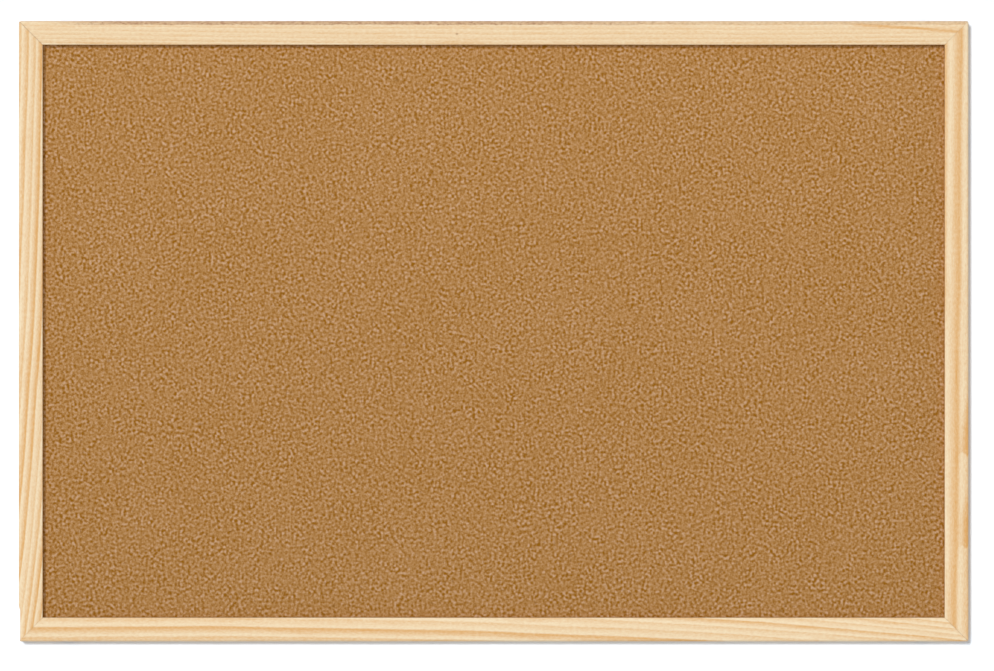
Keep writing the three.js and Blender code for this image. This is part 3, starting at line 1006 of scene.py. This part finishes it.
class PINBOARD_OT_fixings(bpy.types.Operator):
    """Build the corner nails and the framer's points"""

    bl_idname = "pinboard.fixings"
    bl_label = "Nails and Points"

    def execute(self, context):
        back = context.scene.pinboard_back
        steel = metal_finish("spring_steel", back.steel, 0.3, (1600, 90, 90), 0.08)
        for name in node_names("wedge_nail"):
            place_piece(wedge_nail(f"{name}_strip", *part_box(name)), steel, "board", "steel", name)
        for name in node_names("framers_point"):
            place_piece(pressed_point(f"{name}_tab", *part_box(name)), steel, "board", "steel", name)
        return {"FINISHED"}


class PINBOARD_OT_hangers(bpy.types.Operator):
    """Build the folded straps, the swinging D-rings and the screws"""

    bl_idname = "pinboard.hangers"
    bl_label = "Hangers"

    def execute(self, context):
        back = context.scene.pinboard_back
        zinc = metal_finish("zinc_plating", back.zinc, 0.28, (220, 220, 60), 0.35)
        for joint in frame["joints"]:
            hand = joint["child"].removesuffix("_ring")
            pivot = Vector(joint["pos_m"])
            strap, ring = f"{hand}_hanger_strap", f"{hand}_hanging_ring"
            place_piece(folded_strap(f"{hand}_folded_strap", *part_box(strap), pivot), zinc,
                        "board", "plated_steel", strap)
            place_piece(hanging_ring(f"{hand}_d_ring", *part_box(ring), pivot), zinc,
                        joint["child"], "plated_steel", ring)
            screw = f"{hand}_hanger_screw"
            place_piece(threaded_screw(f"{hand}_wood_screw", *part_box(screw)), zinc,
                        "board", "plated_steel", screw)
        return {"FINISHED"}


class PINBOARD_OT_bumpers(bpy.types.Operator):
    """Build the four rubber bumpers"""

    bl_idname = "pinboard.bumpers"
    bl_label = "Bumpers"

    def execute(self, context):
        rubber = rubber_finish(context.scene.pinboard_back.rubber)
        for name in node_names("_bumper"):
            place_piece(turned_bumper(f"{name}_pad", *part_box(name)), rubber, "board", "rubber", name)
        return {"FINISHED"}


def plane(name, low, high, material):
    """A flat stage surface between two corners, upright or level."""
    mesh = bpy.data.meshes.new(name)
    corners = [low, (high[0], *low[1:]), high, (low[0], *high[1:])]
    mesh.from_pydata(corners, [], [(0, 1, 2, 3)])
    mesh.materials.append(material)
    surface = add_object(name, mesh)
    return surface


class Lamp(NamedTuple):
    """A distant lamp that shines along a heading.

    Its light is the share of white that a surface turned straight to it shows, and its spread, in
    degrees, softens the edges of shadows. It lights the wall alone (INCLUDE), all but the wall (EXCLUDE)
    or, with no word, everything.
    """

    name: str
    heading: tuple
    light: float
    spread: float
    wall: str = ""


KEY_HEADING = (0.52, 1.0, -0.52)
KEY_SPREAD = 4.5
OTHER_LAMPS = (
    Lamp("wall_lamp", (0.12, 1.0, -0.12), 0.9, 5.8, "INCLUDE"),
    Lamp("right_lamp", (-1.0, 0.1, -0.25), 0.18, 20.0, "EXCLUDE"),
    Lamp("back_lamp", (0.35, -1.0, -0.5), 0.45, 25.0),
)


def hang_lamp(lamp, wall):
    """Adds a lamp to the scene and links it to what it lights."""
    light = bpy.data.lights.new(lamp.name, "SUN")
    light.energy = lamp.light * math.pi
    light.angle = math.radians(lamp.spread)
    made = add_object(lamp.name, light)
    made.rotation_euler = Vector(lamp.heading).normalized().to_track_quat("-Z", "Y").to_euler()
    if lamp.wall:
        receivers = bpy.data.collections.new(f"{lamp.name}_receivers")
        receivers.objects.link(wall)
        receivers.collection_objects[0].light_linking.link_state = lamp.wall
        made.light_linking.receiver_collection = receivers


def wall_finish(colour):
    """White wall with fine plaster noise. It is clear from behind, so the board's back can be seen."""
    finish = new_finish("white_wall")
    plaster = finish.noise(finish.place(), 160.0, 3.0, 0.6)
    face = finish.principled({
        "Base Color": finish.mix(plaster, colour, toned(colour, 0.985)),
        "Roughness": 0.9,
        "Specular IOR Level": 0.0,
    })
    clear = finish.node("ShaderNodeBsdfTransparent")
    behind = finish.node("ShaderNodeNewGeometry", output="Backfacing")
    return finish.done(finish.node("ShaderNodeMixShader", {0: behind, 1: face, 2: clear}))


def floor_finish(colour):
    """Pale floor with a faint cloudy tone."""
    finish = new_finish("pale_floor")
    cloud = finish.noise(finish.place(), 6.0, 3.0)
    return finish.done(finish.principled({
        "Base Color": finish.mix(cloud, colour, toned(colour, 0.96)),
        "Roughness": 0.7 + cloud * 0.1,
    }))


def room_world(room_light):
    """Even light from all sides, which the camera and reflections see as white."""
    finish = Finish(bpy.data.worlds.new("studio_room"))
    ray = finish.node("ShaderNodeLightPath", output="Is Camera Ray")
    seen = finish.maths("MINIMUM", ray + ray.out("Is Glossy Ray") + ray.out("Is Transmission Ray"), 1.0)
    background = finish.node("ShaderNodeBackground", {
        "Color": (1.0, 1.0, 1.0),
        "Strength": room_light + seen * (1 - room_light),
    })
    finish.node("ShaderNodeOutputWorld", {"Surface": background})
    bpy.context.scene.world = finish.owner


def picture_camera(distance):
    """A camera straight in front, far enough back that the sides of the frame don't show.

    Its lens makes the board as wide as in the picture, and it stands aside by the few pixels that the
    board is off the picture's middle.
    """
    camera = bpy.data.cameras.new("picture_camera")
    pixels_per_metre = BOARD_PIXELS_WIDE / (2 * HALF_WIDTH)
    camera.sensor_width = 36.0
    camera.lens = camera.sensor_width * pixels_per_metre * distance / PICTURE_WIDTH
    camera.clip_end = 4 * distance
    made = add_object("picture_camera", camera)
    aside, down = BOARD_PIXELS_RIGHT / pixels_per_metre, BOARD_PIXELS_UP / pixels_per_metre
    made.location = (-aside, FACE_Y - distance, -down)
    made.rotation_euler = (QUARTER_TURN, 0, 0)
    bpy.context.scene.camera = made


class PINBOARD_OT_stage(bpy.types.Operator):
    """Build the wall, the floor, the lamps and the camera"""

    bl_idname = "pinboard.stage"
    bl_label = "Studio"

    def execute(self, context):
        stage = context.scene.pinboard_stage
        context.scene.view_settings.view_transform = "Standard"
        floor_z = -stage.floor_drop
        wall = plane("studio_wall", (-WALL_REACH, WALL_Y, floor_z), (WALL_REACH, WALL_Y, WALL_TOP),
                     wall_finish(stage.wall))
        wall.visible_shadow = False
        wall.visible_diffuse = False
        wall.visible_glossy = False
        plane("studio_floor", (-FLOOR_REACH, -FLOOR_REACH, floor_z), (FLOOR_REACH, FLOOR_REACH, floor_z),
              floor_finish(stage.floor))
        room_world(stage.room_light)
        key_light = stage.key_light * Vector(KEY_HEADING).length
        for lamp in (Lamp("key_lamp", KEY_HEADING, key_light, KEY_SPREAD, "EXCLUDE"), *OTHER_LAMPS):
            hang_lamp(lamp, wall)
        picture_camera(stage.camera_distance)
        return {"FINISHED"}


class PINBOARD_PT_build(bpy.types.Panel):
    """The board's pieces, in building order"""

    bl_idname = "PINBOARD_PT_build"
    bl_label = "Pin Board"
    bl_space_type = "VIEW_3D"
    bl_region_type = "UI"
    bl_category = "Pin Board"

    def draw(self, context):
        column = self.layout.column()
        for operator in OPERATORS:
            column.operator(operator.bl_idname)


OPERATORS = (
    PINBOARD_OT_frame_sides,
    PINBOARD_OT_cork,
    PINBOARD_OT_panel_back,
    PINBOARD_OT_fixings,
    PINBOARD_OT_hangers,
    PINBOARD_OT_bumpers,
    PINBOARD_OT_stage,
)
SETTINGS = {
    "pinboard_pine": PineSettings,
    "pinboard_cork": CorkSettings,
    "pinboard_back": BackSettings,
    "pinboard_stage": StageSettings,
}
CLASSES = (*SETTINGS.values(), *OPERATORS, PINBOARD_PT_build)


def register():
    for group in CLASSES:
        bpy.utils.register_class(group)
    for name, group in SETTINGS.items():
        setattr(bpy.types.Scene, name, PointerProperty(type=group))


def unregister():
    for name in SETTINGS:
        delattr(bpy.types.Scene, name)
    for group in reversed(CLASSES):
        bpy.utils.unregister_class(group)


def main():
    register()
    bpy.ops.pinboard.frame_sides()
    bpy.ops.pinboard.cork()
    bpy.ops.pinboard.panel_back()
    bpy.ops.pinboard.fixings()
    bpy.ops.pinboard.hangers()
    bpy.ops.pinboard.bumpers()
    bpy.ops.pinboard.stage()
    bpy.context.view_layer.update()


if __name__ == "__main__":
    main()
